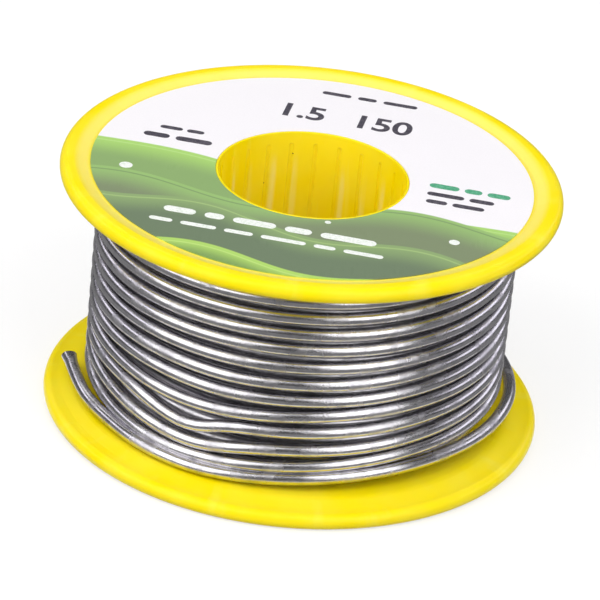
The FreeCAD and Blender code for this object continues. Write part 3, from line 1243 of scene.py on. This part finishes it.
@dataclass(frozen=True)
class FaceLabel:
    """The round paper label in the upper flange, with its print."""

    rings: int = 10  # rings of faces between the bore and the edge
    sides: int = 160  # divisions round the bore
    print_lift: float = 0.012 * MM  # how far the ink stands on the paper
    seat_depth: float = 0.0048 * MM  # how far the ink's underside lies in the paper
    figure_share: float = 0.7  # height of a figure as a share of the font's size
    figure_bold: float = 0.1 * MM  # how much bolder than the font the figures are
    # The wire's gauge and the spool's weight in grams
    numbers: tuple[Number, ...] = (
        Number("1.5", -4.4, 15.2, 3.3),
        Number("150", 5.0, 15.2, 3.3),
    )
    # The rows printed in grey
    grey_rows: tuple[MarkRow, ...] = (
        MarkRow(-3.2, 21.4, (3.4, 2.2, 4.0), 0.8, 0.8),
        MarkRow(-18.8, 5.5, (2.6, 2.0), 0.5, 0.8),
        MarkRow(-20.2, 3.2, (3.0, 4.2), 0.7, 1.1),
        MarkRow(13.0, 0.4, (4.2, 2.8), 0.6, 0.9),
        MarkRow(13.2, -1.5, (2.4, 3.6), 0.6, 0.9),
    )
    # The rows printed in green
    green_rows: tuple[MarkRow, ...] = (MarkRow(12.9, 2.5, (3.4, 2.0, 2.6), 0.6, 1.1),)
    # The rows printed in white
    white_rows: tuple[MarkRow, ...] = (
        MarkRow(-13.8, -14.1, (3.6, 2.2, 4.8, 3.0, 6.2), 1.0, 1.3),
        MarkRow(-14.8, -16.9, (2.6, 4.0, 3.2, 5.0, 2.4, 4.4), 0.9, 0.8),
        MarkRow(17.4, -10.4, (1.2,), 0.0, 1.2),
        MarkRow(-20.9, -5.6, (1.5,), 0.0, 1.5),
        MarkRow(3.6, -10.9, (0.7,), 0.0, 0.7),
    )

    def turned(self, across: float, up: float, height: float) -> Matrix:
        """The place and turn of something printed across and up the print, in millimetres, at a height."""
        spin = Matrix.Rotation(math.radians(PRINT_TURNED_DEG), 4, "Z")
        return spin @ Matrix.Translation((across * MM, up * MM, height))

    def paper(self, top: float, bottom: float, inner_r: float, outer_r: float) -> Piece:
        """Makes the paper ring.

        Args:
            top: height of its face.
            bottom: height of its back.
            inner_r: radius of its hole.
            outer_r: its outer radius.

        Returns:
            The ring.
        """
        steps = [(inner_r + (outer_r - inner_r) * i / self.rings, 0.0) for i in range(1, self.rings + 1)]
        ring = settle(grow_ring(inner_r, top, self.sides, steps), "label_paper")
        if ring.data.polygons[0].normal.z < 0:
            ring.data.flip_normals()
        add_modifier(ring, "SOLIDIFY", thickness=top - bottom, offset=-1.0)
        bpy.ops.object.shade_smooth_by_angle(angle=SMOOTH_BELOW)
        return ring

    def bars(self, row: MarkRow, seat: float) -> list[Piece]:
        """Makes a row's printed bars, with round ends.

        Args:
            row: the row.
            seat: height of the ink's underside.

        Returns:
            The bars, from left to right.
        """
        made = []
        for across, width in row.spans():
            start_piece()
            bpy.ops.mesh.primitive_plane_add(size=1.0)
            bar = bpy.context.object
            bar.scale = (width * MM, row.height * MM, 1.0)
            bpy.ops.object.transform_apply(location=False, rotation=False, scale=True)
            bpy.ops.object.mode_set(mode="EDIT")
            bpy.ops.mesh.select_all(action="SELECT")
            # Just under half the height, so that no two corners fall together
            bpy.ops.mesh.bevel(offset=row.height * MM * 0.49, segments=5, affect="VERTICES")
            bpy.ops.object.mode_set(mode="OBJECT")
            add_modifier(bar, "SOLIDIFY", thickness=self.print_lift, offset=1.0)
            bar.matrix_world = self.turned(across, row.up, seat)
            made.append(bar)
        return made

    def number(self, number: Number, seat: float) -> Piece:
        """Makes one number as flat ink.

        Args:
            number: the number.
            seat: height of the ink's underside.

        Returns:
            The number's mesh object.
        """
        start_piece()
        bpy.ops.object.text_add()
        text = bpy.context.object
        text.data.body = number.text
        text.data.size = number.height * MM / self.figure_share
        text.data.align_x = "CENTER"
        text.data.align_y = "CENTER"
        text.data.extrude = self.print_lift / 2
        text.data.offset = self.figure_bold
        bpy.ops.object.convert(target="MESH")
        text = bpy.context.object
        text.matrix_world = self.turned(number.across, number.up, seat + self.print_lift / 2)
        return text

    def build(self) -> None:
        """Makes the label and its print, and lets them ride on the spool."""
        low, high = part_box("face_label")
        inner_r = least_radius(frame["nodes"]["face_label"])
        ring = self.paper(high.z - self.print_lift, low.z, inner_r, high.x)
        dress(ring, GREEN_PRINT.make())
        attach(ring, Body.SPOOL.value)
        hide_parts("face_label")
        seat = high.z - self.print_lift - self.seat_depth
        numbers = [self.number(number, seat) for number in self.numbers]
        prints = (
            ("label_grey_print", GREY_INK, self.grey_rows, numbers),
            ("label_green_print", GREEN_INK, self.green_rows, []),
            ("label_white_print", WHITE_INK, self.white_rows, []),
        )
        for name, ink, rows, others in prints:
            bars = [bar for row in rows for bar in self.bars(row, seat)]
            printed = join_pieces(bars + others, name)
            dress(printed, ink.make())
            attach(printed, Body.SPOOL.value)


# The studio

def seen_directly(board: NodeBoard) -> Socket:
    """Finds where a surface is seen and doesn't only light.

    Args:
        board: the nodes of the surface's material, or of the world.

    Returns:
        One for the camera, in a mirror or through glass, and otherwise nothing.
    """
    path = board.add("ShaderNodeLightPath")
    shown = board.calc("MAXIMUM", path.outputs["Is Camera Ray"], path.outputs["Is Glossy Ray"])
    return board.calc("MAXIMUM", shown, path.outputs["Is Transmission Ray"])


@dataclass(frozen=True)
class StudioFloor:
    """A pale table that keeps the spool's shadow."""

    size: float = 40.0  # its width
    tone: float = 0.42  # how much light it sends back
    lift: float = 0.62  # how much brighter it is where it is seen
    drop: float = 0.02 * MM  # how far it lies below the spool's foot

    def build(self) -> None:
        """Makes the floor, white to the camera and to what mirrors it."""
        start_piece()
        bpy.ops.mesh.primitive_plane_add(size=self.size, location=(0.0, 0.0, -self.drop))
        floor = settle(bpy.context.object, "studio_floor")
        material = bpy.data.materials.new("white_table")
        board, surface = NodeBoard.blank(material, "ShaderNodeOutputMaterial")
        matt = board.run(board.add("ShaderNodeBsdfDiffuse"), (self.tone, self.tone, self.tone, 1.0))
        glow = board.add("ShaderNodeEmission")
        board.feed(glow.inputs["Strength"], board.product(seen_directly(board), self.lift))
        board.feed(surface, board.run(board.add("ShaderNodeAddShader"), matt, glow.outputs[0]))
        floor.data.materials.append(material)


@dataclass(frozen=True)
class Lamp:
    """A soft box, placed by its direction from the spool."""

    name: str  # the lamp's name
    azimuth_deg: float  # its direction round the bore
    elevation_deg: float  # its height above the horizon, as seen from the spool
    distance: float  # how far away it is
    width: float  # its width
    height: float  # its height
    radiance: float  # how bright its face is, where 1 is white
    mirrored: bool = True  # whether shiny things show it
    tint: Colour = (1.0, 1.0, 1.0)  # the colour of its light

    def build(self, target: Vector) -> None:
        """Hangs the lamp.

        Args:
            target: the place that it is turned to.
        """
        level = self.distance * math.cos(math.radians(self.elevation_deg))
        rise = self.distance * math.sin(math.radians(self.elevation_deg))
        place = target + polar(self.azimuth_deg, level, rise)
        start_piece()
        bpy.ops.object.light_add(type="AREA", location=place)
        lamp = bpy.context.object
        lamp.name = self.name
        lamp.data.shape = "RECTANGLE"
        lamp.data.size = self.width
        lamp.data.size_y = self.height
        lamp.data.energy = self.radiance * math.pi * self.width * self.height
        lamp.rotation_euler = (place - target).to_track_quat("Z", "Y").to_euler()
        lamp.data.color = self.tint
        lamp.visible_glossy = self.mirrored


@dataclass(frozen=True)
class DarkTent:
    """A grey tent round the studio with a table card inside it, which only the shiny surfaces show."""

    hole: float = 33.0 * MM  # radius of the hole in the table card that the spool stands in
    reach: float = 2.0  # radius of the tent
    lift: float = 0.1 * MM  # how far the table card lies above the table
    table_tone: float = 0.24  # how bright the table card is
    wall_tone: float = 0.06  # how bright the tent's walls and roof are
    foot: float = 0.1  # height over which the one tone goes into the other
    sides: int = 64  # how many sides the tent has
    # The tent from the card's edge to the top of the roof: share of the reach, and rise
    outline: tuple[tuple[float, float], ...] = ((1.0, 0.0), (1.0, 0.7), (0.7, 0.7), (0.02, 0.5))

    def build(self) -> None:
        """Stands the tent up round the lamps."""
        steps = [(self.reach * share, rise) for share, rise in self.outline]
        tent = settle(grow_ring(self.hole, self.lift, self.sides, steps), "grey_tent")
        material = bpy.data.materials.new("grey_tent_cloth")
        board, surface = NodeBoard.blank(material, "ShaderNodeOutputMaterial")
        cloth = board.add("ShaderNodeEmission")
        _, _, height = board.split(board.add("ShaderNodeTexCoord").outputs["Object"])
        tone = board.ramp(height, 0.0, self.foot, self.table_tone, self.wall_tone)
        board.feed(cloth.inputs["Strength"], tone)
        board.feed(surface, cloth.outputs[0])
        tent.data.materials.append(material)
        tent.visible_camera = False
        tent.visible_diffuse = False
        tent.visible_shadow = False


@dataclass(frozen=True)
class Sky:
    """The plain light round the studio."""

    strength: float = 0.2  # how bright it is on the spool

    def build(self) -> None:
        """Makes the world, white where it is seen and softer where it only lights."""
        world = bpy.data.worlds.new("studio_sky")
        board, surface = NodeBoard.blank(world, "ShaderNodeOutputWorld")
        shown = seen_directly(board)
        strength = board.calc("MULTIPLY_ADD", shown, 1.0 - self.strength, self.strength)
        sky = board.run(board.add("ShaderNodeBackground"), (1.0, 1.0, 1.0, 1.0), strength)
        board.feed(surface, sky)
        bpy.context.scene.world = world


@dataclass(frozen=True)
class PhotoCamera:
    """The camera that took the photograph."""

    focal: float = 275.5  # its focal length in millimetres
    sensor: float = 36.0  # the width of its film in millimetres
    near: float = 0.01  # nothing nearer than this is rendered
    far: float = 20.0  # nothing farther away than this is rendered
    elevation_deg: float = 27.89  # how far it looks down
    roll_deg: float = 5.876  # how far the picture is turned
    distance: float = 526.74 * MM  # how far it is from the spool's foot, along its view
    shift_right: float = -1.263 * MM  # how far the spool's foot lies left of the view's middle
    shift_up: float = -12.006 * MM  # how far it lies above the view's middle

    def build(self) -> None:
        """Places the camera and makes it the scene's own."""
        tip = math.radians(self.elevation_deg)
        roll = math.radians(self.roll_deg)
        ahead = Vector((0.0, math.cos(tip), -math.sin(tip)))
        level = Vector((1.0, 0.0, 0.0))
        above = level.cross(ahead)
        right = level * math.cos(roll) + above * math.sin(roll)
        upward = above * math.cos(roll) - level * math.sin(roll)
        place = -right * self.shift_right - upward * self.shift_up - ahead * self.distance
        data = bpy.data.cameras.new("photo_camera")
        data.lens = self.focal
        data.sensor_width = self.sensor
        data.clip_start = self.near
        data.clip_end = self.far
        camera = bpy.data.objects.new("photo_camera", data)
        bpy.context.scene.collection.objects.link(camera)
        turn = Matrix((right, upward, -ahead)).transposed()
        camera.matrix_world = Matrix.Translation(place) @ turn.to_4x4()
        bpy.context.scene.camera = camera


@dataclass(frozen=True)
class Studio:
    """The floor, the lamps, the sky and the camera."""

    lamps: tuple[Lamp, ...] = (
        Lamp("front_left_box", -144.0, 33.0, 0.6, 0.60, 0.72, 2.0),
        Lamp("front_right_box", -52.0, 33.0, 0.6, 0.40, 0.72, 2.35),
        Lamp("left_strip", 158.0, 28.0, 0.7, 0.80, 0.13, 2.0, tint=(0.92, 0.90, 1.0)),
        Lamp("right_strip", 28.0, 24.0, 0.7, 0.80, 0.20, 1.8, tint=(0.92, 0.90, 1.0)),
        Lamp("back_box", 90.0, 50.0, 0.6, 0.70, 0.18, 1.3),
        Lamp("high_box", -90.0, 62.0, 0.6, 0.45, 0.35, 1.2, mirrored=False),
        Lamp("top_box", 100.0, 84.0, 0.7, 0.50, 0.50, 0.45, mirrored=False),
    )

    def build(self) -> None:
        """Sets the studio up around the spool."""
        target = Vector((0.0, 0.0, SPOOL_MIDDLE))
        StudioFloor().build()
        Sky().build()
        for lamp in self.lamps:
            lamp.build(target)
        DarkTent().build()
        PhotoCamera().build()
        bpy.context.scene.view_settings.view_transform = "Standard"


def main() -> None:
    """Builds the spool's sub-assemblies in order, then the studio."""
    logging.basicConfig(level=logging.INFO, format="%(message)s")
    bend = next(joint for joint in frame["joints"] if joint["name"] == "free_end_bend")
    Studio().build()
    LooseWire().build(bend)
    Winding(Reel.measure()).build()
    SpoolBody().build()
    FaceLabel().build()


if __name__ == "__main__":
    main()
